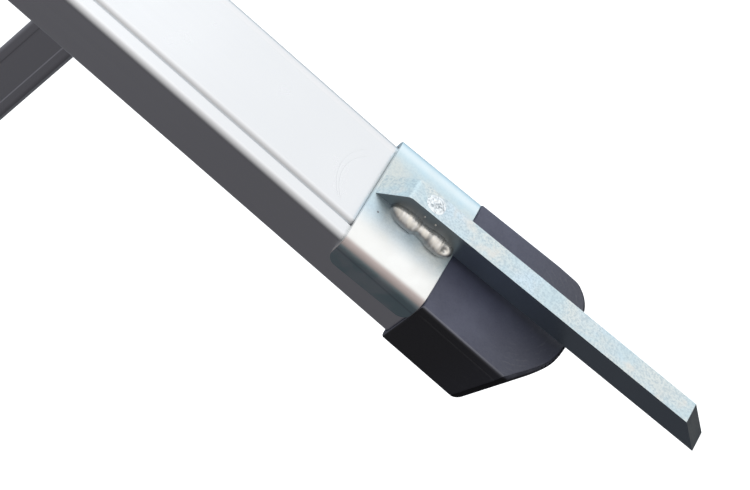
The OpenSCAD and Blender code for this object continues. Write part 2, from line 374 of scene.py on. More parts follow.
def extruded_aluminium(name, tone, dull, scratches):
    """Mill-finish aluminium: fine lines along Z or Y, faint cloudiness and a few scratches."""
    along = (1, 1, 0.004) if scratches else (1, 0.004, 1)
    s = Shader(name, Metallic=1.0)
    lines = s.noise(2600, 2, stretch=along)
    bands = s.noise(300, 2, stretch=along)
    cloud = s.noise(26, 4)
    darker = tuple(c * 0.96 for c in tone)
    base = s.mix(s.span(bands, 0.35, 0.7), s.mix(cloud, tone, darker), tone)
    s.colour(s.mix(s.span(s.axis("Z"), -0.02, -0.16), base, tuple(c * 0.9 for c in tone)))
    s.rough(s.math("ADD", s.math("MULTIPLY", cloud, 0.1), dull))
    s.bump(lines, 0.005)
    s.bump(bands, 0.008)
    if scratches:
        for centre, radius, start in (((-0.3, 0, -203.5), 19.8, -192), ((1.5, 0, -204), 22.4, -190)):
            ring = s.math("ABSOLUTE", s.math("SUBTRACT", s.distance(centre, (1, 0, 1)), radius * MM))
            line = s.span(ring, 0.00008, 0.0003, 1.0, 0.0)
            line = s.math("MULTIPLY", line, s.span(s.axis("Z"), start * MM, (start + 3) * MM))
            line = s.math("MULTIPLY", line, s.span(s.axis("Y"), -0.0132, -0.0125, 1.0, 0.0))
            s.bump(line, -0.035)
    return s.material


def satin_metal(name, tone, dull, grain=1400):
    """Plain bright metal with a fine grain and soft handling marks."""
    s = Shader(name, Metallic=1.0)
    cloud = s.noise(180, 4)
    s.colour(s.mix(cloud, tone, tuple(c * 0.8 for c in tone)))
    s.rough(s.span(cloud, 0.3, 0.75, dull, dull + 0.16))
    s.bump(s.noise(grain, 3), 0.02)
    return s.material


def zinc_plate(name, speckle):
    """Zinc-plated steel: clouded and freckled, with painted reflections, highlights and shade laid on
    by place and by the way a face looks.
    """
    s = Shader(name, Metallic=1.0)
    cloud = s.noise(60, 5, 0.6, distortion=0.6)
    fine = s.noise(900, 4, 0.7)
    tint = s.noise(38, 3, 0.5)
    base = s.mix(s.span(cloud, 0.36, 0.64), (0.60, 0.72, 0.76), (0.76, 0.80, 0.78))
    base = s.mix(s.span(tint, 0.5, 0.76), base, (0.66, 0.79, 0.88))
    freckle = s.span(fine, 0.40, 0.64, 0.0, speckle)
    base = s.mix(freckle, base, (0.42, 0.52, 0.58))
    if name == "zinc_sheet":
        # Painted reflection: a pale blue sky tint over the far part of the web.
        far = s.span(s.axis("X"), 0.018, 0.031)
        base = s.mix(s.math("MULTIPLY", far, 0.85), base, (0.70, 0.90, 1.0))
        # Painted highlight: a near-white streak down the far part of the web.
        painted_streak_highlight = s.span(s.math("ABSOLUTE", s.math("SUBTRACT", s.axis("X"), 0.0285)), 0.0, 0.004,
                        0.6, 0.0)
        base = s.mix(painted_streak_highlight, base, (0.93, 0.99, 1.0))
        # Painted highlight: a near-white band across the web towards its near bend.
        near = s.span(s.axis("X"), -0.008, -0.024)
        base = s.mix(s.math("MULTIPLY", near, 0.95), base, (1.0, 0.995, 0.97))
        # Painted reflection: a pinkish-brown band where the near bend turns towards -X.
        painted_bend_reflection = s.span(s.facing("X"), -0.25, -0.6)
        base = s.mix(s.math("MULTIPLY", painted_bend_reflection, 0.8), base, (0.66, 0.55, 0.52))
        # Painted shade: the near flange, turned towards -X, is made dark, with a darker painted shade
        # line along the start of its flat.
        flange = s.span(s.facing("X"), -0.80, -0.95)
        painted_shade_line = s.span(s.math("ABSOLUTE", s.math("SUBTRACT", s.axis("Y"), -0.0105)), 0.0, 0.0009,
                      0.6, 1.0)
        painted_flange_shade = s.mix(s.span(cloud, 0.4, 0.65), (0.40, 0.53, 0.56), (0.50, 0.57, 0.60))
        base = s.mix(flange, base, s.mix(painted_shade_line, (0.22, 0.26, 0.30), painted_flange_shade))
        pit = s.span(s.distance(PIT), 0.0002, 0.0007, 1.0, 0.0)
        base = s.mix(pit, base, (0.2, 0.2, 0.22))
        s.rough(s.span(cloud, 0.3, 0.7, 0.42, 0.54))
    else:
        warm = s.span(s.noise(75, 3), 0.58, 0.74, 0.0, 0.6)
        base = s.mix(warm, base, (0.82, 0.78, 0.72))
        # Painted shade: the bar's side turned towards -X is made dark, and darker still higher up,
        # where the bar lies along the bracket.
        side = s.span(s.facing("X"), -0.84, -0.97)
        # Painted highlight: the rounded arris between the bar's outer face and its near side is made
        # white.
        painted_arris_highlight = s.span(s.facing("X"), -0.25, -0.5)
        base = s.mix(painted_arris_highlight, base, (1.0, 1.0, 1.0))
        higher_up = s.span(s.axis("Z"), DARKER_SIDE_FROM_Z * MM, (DARKER_SIDE_FROM_Z + 9) * MM)
        painted_side_shade = s.mix(higher_up, (0.28, 0.34, 0.385), (0.17, 0.195, 0.215))
        base = s.mix(s.math("MULTIPLY", side, 0.96), base, painted_side_shade)
        # Painted shade: faces turned downwards are made darker.
        painted_underside_shade = s.span(s.facing("Z"), -0.3, -0.6)
        base = s.mix(s.math("MULTIPLY", painted_underside_shade, 0.8), base, (0.28, 0.29, 0.29))
        s.rough(s.span(cloud, 0.3, 0.7, 0.30, 0.42))
    s.colour(base)
    s.bump(fine, 0.03)
    s.bump(s.noise(160, 3), 0.05)
    s.bump(s.noise(420, 2, stretch=(1, 1, 0.06)), 0.012)
    return s.material


def weld_metal():
    """Weld bead: straw and grey bands across the run, darker and sootier in its hollows, with painted
    shade on its steep flanks.
    """
    s = Shader("weld_metal", Metallic=1.0)
    bands = s.noise(500, 3, stretch=(0.35, 0.35, 1.5), distortion=0.8)
    soot = s.noise(230, 4, 0.65)
    geometry = s.add("ShaderNodeNewGeometry")
    hollow = s.span(geometry.outputs["Pointiness"], 0.36, 0.47, 1.0, 0.0)
    base = s.mix(s.span(bands, 0.35, 0.65), (1.0, 0.95, 0.86), (0.97, 0.95, 0.91))
    base = s.mix(s.span(soot, 0.55, 0.8, 0.0, 0.4), base, (0.56, 0.53, 0.51))
    base = s.mix(s.math("MULTIPLY", hollow, 0.5), base, (0.34, 0.33, 0.34))
    # Painted shade: the bead's steep flanks are made darker.
    toe = s.span(s.math("ADD", s.facing("Y"), s.math("MULTIPLY", soot, 0.3)), -0.46, -0.10)
    base = s.mix(s.math("MULTIPLY", toe, 0.75), base, (0.42, 0.42, 0.44))
    s.colour(base)
    s.rough(s.span(soot, 0.3, 0.7, 0.26, 0.46))
    s.bump(bands, 0.02)
    s.bump(s.noise(1500, 3), 0.01)
    return s.material


def plug_metal():
    """Plug weld ground off roughly, with bright smears and dark pits."""
    s = Shader("plug_metal", Metallic=1.0)
    pits = s.noise(380, 3, 0.6, distortion=1.4)
    base = s.mix(s.span(pits, 0.48, 0.64), (0.84, 0.88, 0.90), (0.46, 0.51, 0.54))
    s.colour(base)
    s.rough(s.span(pits, 0.4, 0.65, 0.24, 0.55))
    s.bump(pits, -0.18)
    return s.material


def moulded_plastic():
    """Dark blue-grey moulded plastic, with a painted highlight on its near arris, painted shade on
    its narrow side and painted shade low down.
    """
    s = Shader("black_plastic", Specular_IOR_Level=1.0)
    cloud = s.noise(70, 5, 0.6)
    grit = s.noise(1100, 4, 0.7)
    low = s.span(s.axis("Z"), SOLE_Z * MM + 0.006, SOLE_Z * MM + 0.034, 1.0, 0.0)
    arcs = s.add("ShaderNodeTexWave", wave_type="RINGS", rings_direction="SPHERICAL")
    shifted = s.add("ShaderNodeVectorMath", operation="SUBTRACT")
    s.feed(shifted.inputs[0], s.place)
    shifted.inputs[1].default_value = Vector((6, SHOE_LOW.y, SOLE_Z + 36)) * MM
    s.feed(arcs.inputs["Vector"], shifted.outputs[0])
    arcs.inputs["Scale"].default_value = 120
    arcs.inputs["Distortion"].default_value = 3.0
    arcs.inputs["Detail"].default_value = 3.0
    arcs.inputs["Detail Scale"].default_value = 2.0
    scuff = s.math("MULTIPLY", s.span(arcs.outputs["Fac"], 0.72, 0.98), low)
    scuff = s.math("MULTIPLY", scuff, s.span(s.noise(220, 2), 0.42, 0.66))
    base = s.mix(s.span(cloud, 0.3, 0.75), (0.054, 0.060, 0.110), (0.080, 0.088, 0.146))
    # Painted shade: faces turned towards -X are made near black.
    base = s.mix(s.span(s.facing("X"), -0.4, -0.9), base, (0.006, 0.006, 0.010))
    # Painted highlight: a lighter band along the near arris, where the faces turn from the wide face
    # towards -X.
    worn = s.math("MULTIPLY", s.span(s.facing("X"), -0.10, -0.35), s.span(s.facing("X"), -0.80, -0.5))
    base = s.mix(s.math("MULTIPLY", worn, 0.8), base, (0.20, 0.205, 0.25))
    base = s.mix(s.math("MULTIPLY", scuff, 0.5), base, (0.20, 0.205, 0.23))
    shade = s.span(s.axis("Z"), SOLE_Z * MM + 0.004, SOLE_Z * MM + 0.050, 0.66, 0.0)
    s.colour(s.mix(shade, base, (0.020, 0.022, 0.040)))
    s.rough(s.span(grit, 0.3, 0.75, 0.5, 0.66))
    s.bump(grit, 0.02)
    s.bump(scuff, 0.03)
    return s.material


def moulded_rubber():
    """Dull black rubber with a fine tooth and dust in its low places, and painted shade on its narrow
    side and underneath.
    """
    s = Shader("black_rubber", Specular_IOR_Level=0.3)
    dust = s.noise(140, 5, 0.65)
    base = s.mix(s.span(dust, 0.4, 0.75), (0.034, 0.036, 0.050), (0.070, 0.072, 0.088))
    # Painted shade: faces turned towards -X are made near black.
    base = s.mix(s.span(s.facing("X"), -0.4, -0.9), base, (0.008, 0.008, 0.011))
    # Painted shade: faces turned downwards are made near black.
    s.colour(s.mix(s.span(s.facing("Z"), -0.5, -0.9), base, (0.012, 0.012, 0.014)))
    s.rough(s.span(dust, 0.3, 0.7, 0.7, 0.88))
    s.bump(s.noise(1600, 3), 0.04)
    return s.material


DARKER_SIDE_FROM_Z = BRACKET_LOW.z - 2            # the painted shade on the bar's near side is darker above this height
PIT = BRACKET_FRAME @ (Vector((-9.8, -SHEET, -6.2)) * MM) / MM
MATERIALS = {
    "extruded_aluminium": extruded_aluminium("extruded_aluminium", (0.875, 0.885, 0.90), 0.24, True),
    "rung_aluminium": extruded_aluminium("rung_aluminium", (0.58, 0.58, 0.60), 0.34, False),
    "rivet_aluminium": satin_metal("rivet_aluminium", (0.72, 0.72, 0.73), 0.32),
    "mandrel_steel": satin_metal("mandrel_steel", (0.30, 0.30, 0.31), 0.45, 2600),
    "zinc_fastener": satin_metal("zinc_fastener", (0.66, 0.69, 0.71), 0.24),
    "spring_steel": satin_metal("spring_steel", (0.40, 0.42, 0.44), 0.3),
    "zinc_sheet": zinc_plate("zinc_sheet", 0.25),
    "zinc_bar": zinc_plate("zinc_bar", 0.65),
    "weld_metal": weld_metal(),
    "plug_metal": plug_metal(),
    "black_plastic": moulded_plastic(),
    "black_rubber": moulded_rubber(),
}


# ---------------------------------------------------------------- ladder leg

def make_stile():
    """The hollow stile: raised strip, groove with a rounded far shoulder, recessed web."""
    x0, x1, y0, y1 = STILE_LOW.x, STILE_HIGH.x, STILE_LOW.y, STILE_HIGH.y
    strip, groove, depth, recess, behind = 8.5, 2.0, 2.2, 0.35, 1.4
    outer = outline([
        (x0, y0, STILE_RADIUS), (x0 + strip, y0, 0.2), (x0 + strip, y0 + depth, 0.3),
        (x0 + strip + groove, y0 + depth, 0.25), (x0 + strip + groove + 1.18, y0 + recess, 3.7),
        (x1 - STILE_RADIUS - 2.2, y0 + recess, 1.5), (x1 - STILE_RADIUS - 0.6, y0, 0.5),
        (x1, y0, STILE_RADIUS - 0.2), (x1, y1, STILE_RADIUS), (x0, y1, STILE_RADIUS)], 10)
    in_x0, in_x1 = x0 + STILE_WALL, x1 - STILE_WALL
    in_y0, in_y1 = y0 + STILE_WALL, y1 - STILE_WALL
    pad_x, pad_y, corner = x0 + strip - behind, y0 + depth + behind, STILE_RADIUS - STILE_WALL
    inner = outline([
        (in_x0, in_y0, corner), (pad_x, in_y0, 0.4), (pad_x, pad_y, 0.5), (pad_x + 8, pad_y, 0.5),
        (pad_x + 8, in_y0, 0.4), (in_x1, in_y0, corner), (in_x1, in_y1, corner),
        (in_x0, in_y1, corner)], 6)
    stile = prism("stile_extrusion", [outer, inner], upright, STILE_LOW.z, STILE_HIGH.z)
    drill(stile, STUD_X, STUD_Z, STUD_RADIUS + 0.55, y0 - 1, y1 + 1)
    for side in (-1, 1):
        drill(stile, side * RIVET_X, RIVET_Z, 2.0, 0, y1 + 1)
    combine(stile, prism("mouth", [rung_box(0, RUNG_CORNER)], along_rung, 0, y1 + 1))
    dress(stile, "ladder_leg", "extruded_aluminium", "stile")


def rung_box(grow, radius):
    """The rung's plain outline, grown all round."""
    wide, tall = RUNG_WIDE / 2 + grow, RUNG_TALL / 2 + grow
    return outline(rectangle((-wide, -tall), (wide, tall), radius), 8)


def rung_outline():
    """The rung's section: ribbed tread above and below, a shallow recess in each side."""
    wide, tall = RUNG_WIDE / 2, RUNG_TALL / 2
    recess, band, rib, rib_depth = 0.4, 6.25, 0.8, 0.6
    side = [(wide, -tall, RUNG_CORNER), (wide, -band - 0.5, 0.6), (wide - recess, -band, 0.4),
            (wide - recess, band, 0.4), (wide, band + 0.5, 0.6), (wide, tall, RUNG_CORNER)]
    tread = []
    for i in range(4):
        centre = (1.5 - i) * 4
        tread += [(centre + rib, tall, 0.15), (centre + rib - 0.1, tall - rib_depth, 0.2),
                  (centre - rib + 0.1, tall - rib_depth, 0.2), (centre - rib, tall, 0.15)]
    half = side + tread
    return outline(half + [(-x, -z, r) for x, z, r in half], 4)


def make_rung():
    """The rung, held in the stile's wall by a swaged bead on each side of it."""
    wall_in = STILE_HIGH.y - STILE_WALL
    rung = prism("rung_tube", [rung_outline(), rung_box(-2.1, 0.5)], along_rung,
                 wall_in - RUNG_BEAD + 0.3, RUNG_HIGH.y)
    for low, high in ((wall_in - RUNG_BEAD, wall_in), (STILE_HIGH.y, STILE_HIGH.y + RUNG_BEAD)):
        loops = [rung_box(RUNG_BEAD, RUNG_CORNER + RUNG_BEAD), rung_box(-1.2, 1)]
        combine(rung, soften(prism("collar", loops, along_rung, low, high), 1.1, 4), "UNION")
    dress(rung, "ladder_leg", "rung_aluminium", "rung")


# ---------------------------------------------------------------- shoe

SHOE_CORNER = 1.7                       # of the two upright arrises on the outer side
INNER_CORNER = 3.2                      # of the two on the rung's side
MOULD_LINE = 0.14                       # depth of the moulding line in the near narrow side
ROCKER_X, ROCKER_R = 7.0, 62.0
TOE_R = 14.0
TOE_X = SHOE_HIGH.x - TOE_R
HEEL_Z = 15.5                           # at the near outer corner
HEEL_FALL, HEEL_RISE = 0.6153, 0.2389   # slopes of the heel plane along X and along Y
FAR_TOP_X = 36.0
FAR_LEAN_Z = 20.0                       # the far side leans in above this height
COLLAR_Z = 65.6
LIP = 1.6                               # the outer wall stands this far above the collar
SPINE_IN = 16.4                         # the spine's ends lie this far inside the outline
OUTER_Y = -16.0                         # the grooves follow the underside along this line


def underside(x, y):
    """Height of the sole's underside over its lowest point: heel slope, rocker and toe."""
    rocker = ROCKER_R - math.sqrt(ROCKER_R ** 2 - min(x - ROCKER_X, 0) ** 2)
    toe = TOE_R - math.sqrt(max(TOE_R ** 2 - max(x - TOE_X, 0) ** 2, 0))
    heel = HEEL_Z - HEEL_FALL * (x - SHOE_LOW.x) + HEEL_RISE * (y - SHOE_LOW.y)
    ease = 3.0
    blend = max(ease - abs(heel - rocker), 0) ** 2 / (4 * ease)
    return max(heel, rocker, toe) + blend


def rim(x):
    """Radius of the sole's rounded rim, widest at the near end."""
    t = min(max((x + 26) / 26, 0), 1)
    return 2.7 - 1.6 * t


def shoe_plan(x0, x1, y0, y1, radius, line_depth=0.0, inner=None):
    """A shoe section in X and Y, with a fine moulding line in its near narrow side."""
    line = SHOE_LOW.y + 5.2
    inner = inner or radius
    corners = rectangle((x0, y0), (x1, y1), radius)[:2] + [
        (x1, y1, inner), (x0, y1, inner),
        (x0, line + 0.25, 0), (x0 + line_depth, line, 0), (x0, line - 0.25, 0)]
    return outline(corners, 6, [44, 14, 44, 12, 1, 1, 3])


SHOE_PLAN = shoe_plan(SHOE_LOW.x, SHOE_HIGH.x, SHOE_LOW.y, SHOE_HIGH.y, SHOE_CORNER,
                      MOULD_LINE, INNER_CORNER)
SHOE_INSET = [inner - outer for inner, outer in zip(
    shoe_plan(SHOE_LOW.x + 1, SHOE_HIGH.x - 1, SHOE_LOW.y + 1, SHOE_HIGH.y - 1,
              SHOE_CORNER - 1, MOULD_LINE, INNER_CORNER - 1), SHOE_PLAN)]
SHOE_SPINE = [Vector((min(max(p.x, SHOE_LOW.x + SPINE_IN), SHOE_HIGH.x - SPINE_IN), 0))
              for p in SHOE_PLAN]


def shoe_point(plan, z):
    """A point of the shoe at height z over the sole, drawn in where the far side leans."""
    lean = (SHOE_HIGH.x - FAR_TOP_X) * max(z - FAR_LEAN_Z, 0) / (COLLAR_Z - FAR_LEAN_Z)
    share = (plan.x - SHOE_LOW.x) / (SHOE_HIGH.x - SHOE_LOW.x)
    return Vector((plan.x - lean * share, plan.y, SOLE_Z + z)) * MM


def edge_height(i):
    """Height of the joint between body and sole at point i of the outline."""
    return underside(*SHOE_PLAN[i]) + rim(SHOE_PLAN[i].x)


def collar_height(plan):
    """Height of the collar's top: a lip stands up along the middle of the outer wide side."""
    inside = min(max((27.5 - abs(plan.x)) / 1.5, 0), 1) if plan.y < -13 else 0
    return COLLAR_Z + LIP * inside


def floor_rings(lift, inset):
    """Rings that close the shoe's section from its edge in to its spine."""
    rings = []
    for k in range(1, 11):
        share = (k / 10) ** 1.6
        plan = [(p + inset * v).lerp(end, share)
                for p, v, end in zip(SHOE_PLAN, SHOE_INSET, SHOE_SPINE)]
        rings.append([shoe_point(q, underside(*q) + lift(p.x)) for p, q in zip(SHOE_PLAN, plan)])
    return rings


def make_shoe_body():
    """The moulded shoe: socket, collar with a lip, upright sides down to the sole's joint."""
    gap, fillet = 0.15, 1.2
    count = range(len(SHOE_PLAN))
    socket = shoe_plan(STILE_LOW.x - gap, STILE_HIGH.x + gap, STILE_LOW.y - gap,
                       STILE_HIGH.y + gap, STILE_RADIUS)
    flared = shoe_plan(STILE_LOW.x - 2 * gap, STILE_HIGH.x + 2 * gap, STILE_LOW.y - 2 * gap,
                       STILE_HIGH.y + 2 * gap, STILE_RADIUS)
    rings = [[Vector((p.x, p.y, STILE_LOW.z)) * MM for p in socket],
             [Vector((p.x, p.y, SOLE_Z + collar_height(p) - 0.5)) * MM for p in socket],
             [Vector((p.x, p.y, SOLE_Z + collar_height(p))) * MM for p in flared]]
    for k in range(6):
        turn = math.radians(18 * k)
        inset, drop = fillet * (1 - math.sin(turn)), fillet * (1 - math.cos(turn))
        rings.append([shoe_point(p + inset * v, collar_height(p) - drop)
                      for p, v in zip(SHOE_PLAN, SHOE_INSET)])
    for k in range(1, 13):
        rings.append([shoe_point(SHOE_PLAN[i], (collar_height(SHOE_PLAN[i]) - fillet) * (1 - k / 12)
                                 + (edge_height(i) + 0.2) * k / 12) for i in count])
    rings.append([shoe_point(SHOE_PLAN[i] + 0.2 * SHOE_INSET[i], edge_height(i) + 0.03)
                  for i in count])
    rings += floor_rings(lambda x: rim(x) + 0.03, 0.2)
    body = loft("shoe_moulding", rings)
    spigot = outline(rectangle((-28, -9), (28, 9), 1.5))
    combine(body, prism("spigot", [spigot], upright, STILE_LOW.z - 2, STILE_LOW.z + 12), "UNION")
    for side in (-1, 1):
        drill(body, side * RIVET_X, RIVET_Z, 2.0, STILE_HIGH.y - 1, SHOE_HIGH.y + 1)
    dress(body, "ladder_leg", "black_plastic", "shoe_body", 28)


def make_tread_sole():
    """The rubber sole: rounded rim, rocking underside with fine grooves across it."""
    count = range(len(SHOE_PLAN))
    rings = floor_rings(rim, 0.2)[::-1]
    rings.append([shoe_point(SHOE_PLAN[i] + 0.2 * SHOE_INSET[i], edge_height(i)) for i in count])
    for k in range(8):
        turn = math.radians(90 * k / 7)
        ring = []
        for p, v in zip(SHOE_PLAN, SHOE_INSET):
            radius = rim(p.x)
            q = p + radius * (1 - math.cos(turn)) * v
            ring.append(shoe_point(q, underside(*q) + radius * (1 - math.sin(turn)) - 0.1 * (k == 0)))
        rings.append(ring)
    closing = []
    for k in range(1, 15):
        share = (k / 14) ** 1.8
        plan = [(p + rim(p.x) * v).lerp(end, share)
                for p, v, end in zip(SHOE_PLAN, SHOE_INSET, SHOE_SPINE)]
        closing.append([shoe_point(q, underside(*q)) for q in plan])
    sole = loft("sole_moulding", rings + closing)
    pitch, width, depth = 2.5, 1.2, 0.95
    for k in range(16):
        x = ROCKER_X + (k - 8.5) * pitch
        slope = math.atan(underside(x + 0.5, OUTER_Y) - underside(x - 0.5, OUTER_Y))
        turn = Matrix.Rotation(slope, 2)
        middle = Vector((x, underside(x, OUTER_Y)))
        groove = [middle + turn @ Vector(corner) + Vector((0, SOLE_Z)) for corner in (
            (-width / 2, -3), (width / 2, -3), (width / 2 - 0.15, depth), (-width / 2 + 0.15, depth))]
        combine(sole, prism("groove", [groove], inwards, SHOE_LOW.y - 1, SHOE_HIGH.y + 1),
                solver="MANIFOLD")
    dress(sole, "ladder_leg", "black_rubber", "tread_sole", 35)


# ---------------------------------------------------------------- stabilizer

def quarter(radius, t):
    """How far a rounded corner of this radius draws in at the distance t from its end."""
    return radius - math.sqrt(max(radius ** 2 - max(radius - t, 0) ** 2, 0))


def sheet_stations(spread=0.0):
    """Half the bracket's section from its centre out: (x, y, heading), trim and inset of each.

    spread is how much wider than the other half this one stands.
    """
    ease_length, ease_turn = 13.0, math.radians(5.5)
    bend_radius, reach, depth = 4.5, 34.8 - SHEET / 2 + spread, 13.6
    ease_radius = ease_length / ease_turn
    bend_turn = math.pi / 2 - ease_turn
    flat = reach - ease_radius * math.sin(ease_turn) - bend_radius * (1 - math.sin(ease_turn))
    flange = depth + SHEET / 2 - ease_radius * (1 - math.cos(ease_turn)) \
        - bend_radius * math.cos(ease_turn)
    corner = 6.0
    trims = [corner * (1 - math.cos(k * math.pi / 20)) for k in range(11)]
    last = [1 - t / flange for t in reversed(trims)]
    x, y, heading = 0.0, -SHEET / 2, 0.0
    stations = [(x, y, heading)]
    runs = ((flat, 0.0, [k / 8 for k in range(1, 9)]),
            (ease_length, ease_turn, [k / 10 for k in range(1, 11)]),
            (bend_radius * bend_turn, bend_turn, [k / 14 for k in range(1, 15)]),
            (flange, 0.0, [0.2, 0.4] + last))
    for length, turn, shares in runs:
        for share in shares:
            end = heading + turn * share
            if turn:
                radius = length / turn
                stations.append((x + radius * (math.sin(end) - math.sin(heading)),
                                 y + radius * (math.cos(heading) - math.cos(end)), end))
            else:
                stations.append((x + length * share * math.cos(heading),
                                 y + length * share * math.sin(heading), heading))
        x, y, heading = stations[-1]
    left = [corner] * (len(stations) - len(trims)) + trims[::-1]
    return [(station, quarter(corner, t), quarter(0.4, t)) for station, t in zip(stations, left)]


def sheet_section(trim, inset):
    """The sheet's section at one station: (height, offset from the middle), edges rounded."""
    half, radius = SHEET / 2 - inset, 0.4
    top, bottom = -trim - inset, trim + inset - BRACKET_LENGTH
    return outline([(top, half, radius), (bottom, half, radius),
                    (bottom, -half, radius), (top, -half, radius)], 4, [20, 1, 20, 1])


def make_bracket():
    """The saddle bracket: one sheet bent round the stile, its web crowned towards the bends."""
    rings = []
    far_spread = 0.7
    for side, stations in ((-1, sheet_stations()[:0:-1]), (1, sheet_stations(far_spread))):
        for (x, y, heading), trim, inset in stations:
            out = Vector((side * math.sin(heading), -math.cos(heading)))
            ring = []
            for z, offset in sheet_section(trim, inset):
                flat = Vector((side * x, y)) + offset * out
                ring.append(BRACKET_FRAME @ (Vector((flat.x, flat.y, z)) * MM))
            rings.append(ring)
    bracket = loft("bracket_sheet", rings)
    drill(bracket, STUD_X, STUD_Z, HOLE_RADIUS, STILE_LOW.y - 12, 0)
    dress(bracket, "stabilizer", "zinc_sheet", "bracket", 35)


def make_spike_bar():
    """The square bar: a long bevel at each tip, arrises just broken, upper corner worn round."""
    tip = BAR_TOP
    section = outline([(-SHEET, tip, 0), (-SHEET, tip - BAR_LENGTH, 0),
                       (BAR_FACE, tip - BAR_LENGTH + BAR_SIDE, 0.6),
                       (BAR_FACE, tip - BAR_SIDE, 4.0)], 6)
    bar = prism("bar_blank", [section], across_bracket, BAR_X - BAR_SIDE / 2, BAR_X + BAR_SIDE / 2)
    soften(bar, 0.55, 3, 30)
    drill(bar, STUD_X, STUD_Z, HOLE_RADIUS, STILE_LOW.y - 30, 0)
    dress(bar, "stabilizer", "zinc_bar", "spike_bar", 35)


def weld_run(name, side, lobes, craters, seed):
    """A run of weld in the corner of web and bar. A lobe is (place, length, web leg, bar leg)."""
    root = BAR_X + side * BAR_SIDE / 2
    top, bottom = lobes[0][0] + lobes[0][1] * 0.62, lobes[-1][0] - lobes[-1][1] * 0.62
    steps, around = 110, 26
    rings = []
    for k in range(steps + 1):
        z = top + (bottom - top) * k / steps
        ends = math.sqrt(max(1 - abs(2 * k / steps - 1) ** 4, 0.0004))
        weights = [math.exp(-((z - place) / (0.55 * length)) ** 2) for place, length, _, _ in lobes]
        total = sum(weights)
        web = sum(w * leg for w, (_, _, leg, _) in zip(weights, lobes)) / total
        bar = sum(w * leg for w, (_, _, _, leg) in zip(weights, lobes)) / total
        waist = 0.93 + 0.07 * min(max(weights), 1)
        ring = []
        for j in range(around + 1):
            angle = math.pi / 2 * j / around
            ripple = 0.03 * math.sin(4.2 * z + 2.6 * math.sin(2 * angle))
            lump = 1 + 0.07 * rough((j / 6, z / 1.8, 0), 4.0, seed)
            lump += 0.025 * rough((j / 5, z, 5), 1.3, seed)
            swell = (1 + 0.12 * math.sin(2 * angle)) * ends * waist * lump
            for place, towards, width, depth in craters:
                near = ((z - place) / width) ** 2 + ((angle - math.radians(towards)) / 0.28) ** 2
                swell -= depth * math.exp(-near) / web
            out_web = (web * swell + ripple * ends) * math.cos(angle)
            out_bar = (bar * swell + ripple * ends) * math.sin(angle)
            ring.append((root + side * out_web, -SHEET - out_bar, z))
        ring.append((root - side * 0.6, -SHEET - max(bar * ends, 0.3), z))
        ring.append((root - side * 0.6, -SHEET + 0.6, z))
        ring.append((root + side * max(web * ends, 0.3), -SHEET + 0.6, z))
        rings.append([BRACKET_FRAME @ (Vector(p) * MM) for p in ring])
    bead = loft(name, rings)
    modify(bead, "SMOOTH", factor=0.5, iterations=2)
    return bead


def spatter(obj, drops):
    """Adds beads of spatter: each is its middle in the bracket's frame and its radius."""
    work = bmesh.new()
    work.from_mesh(obj.data)
    for *middle, radius in drops:
        place = BRACKET_FRAME @ Matrix.Translation(Vector(middle) * MM)
        bmesh.ops.create_icosphere(work, subdivisions=3, radius=radius * MM, matrix=place)
    work.to_mesh(obj.data)
    work.free()


def make_welds():
    near = weld_run("weld_near_run", -1,
                    [(-16.4, 10.8, 6.4, 5.2), (-27.4, 4.2, 4.7, 4.3), (-37.4, 10.4, 7.0, 5.3)],
                    [(-39.4, 50, 1.5, 1.7), (-25.2, 15, 1.6, 0.6)], 1.0)
    spatter(near, [(BAR_X - BAR_SIDE / 2, -11.0, -23.3, 0.5),
                   (BAR_X - BAR_SIDE / 2, -11.2, -29.1, 0.55)])
    dress(near, "stabilizer", "weld_metal", "weld_bead_near", 60)
    far = weld_run("weld_far_run", 1,
                   [(-16.5, 8.0, 4.4, 4.2), (-25.5, 5.0, 3.6, 3.6), (-34.5, 9.6, 5.0, 4.6)],
                   [(-38.0, 48, 1.6, 1.2)], 7.0)
    dress(far, "stabilizer", "weld_metal", "weld_bead_far", 60)


def make_plug_weld():
    """The plug of weld that holds the stud in the bar: rough, swirled and a little proud."""
    inverse = BRACKET_FRAME.inverted()
    start = inverse @ (Vector((STUD_X, 0, STUD_Z)) * MM) / MM
    along = inverse.to_3x3() @ Vector((0, 1, 0))
    middle = start + along * ((BAR_FACE - start.y) / along.y)
    spread, around = 4.7, 56
    rings = []
    for k in range(26):
        radius = 0.04 + spread * (k / 25)
        ring = []
        for j in range(around):
            angle = math.tau * j / around
            x, z = radius * math.cos(angle), radius * math.sin(angle)
            edge = max(1 - (radius / spread) ** 5, 0)
            swirl = math.sin(3.1 * radius + 1.6 * rough((x, z, 0), 2.2) + angle)
            height = 0.22 + 0.10 * swirl + 0.22 * rough((x, z, 9), 1.3) + 0.1 * rough((x, z, 4), 0.5)
            height = max(height, 0.0) * edge
            wide = 1 + 0.07 * rough((math.cos(angle), math.sin(angle), 0), 0.7, 3)
            ring.append((middle.x + x * wide, middle.y - height - 0.01, middle.z + z * wide))
        rings.append(ring)
    for radius, depth in ((HOLE_RADIUS, 0.1), (HOLE_RADIUS - 0.02, 2.2)):
        rings.append([(middle.x + radius * math.cos(math.tau * j / around), middle.y + depth,
                       middle.z + radius * math.sin(math.tau * j / around)) for j in range(around)])
    plug = loft("plug_run", [[BRACKET_FRAME @ (Vector(p) * MM) for p in ring] for ring in rings])
    dress(plug, "stabilizer", "plug_metal", "plug_weld", 70)


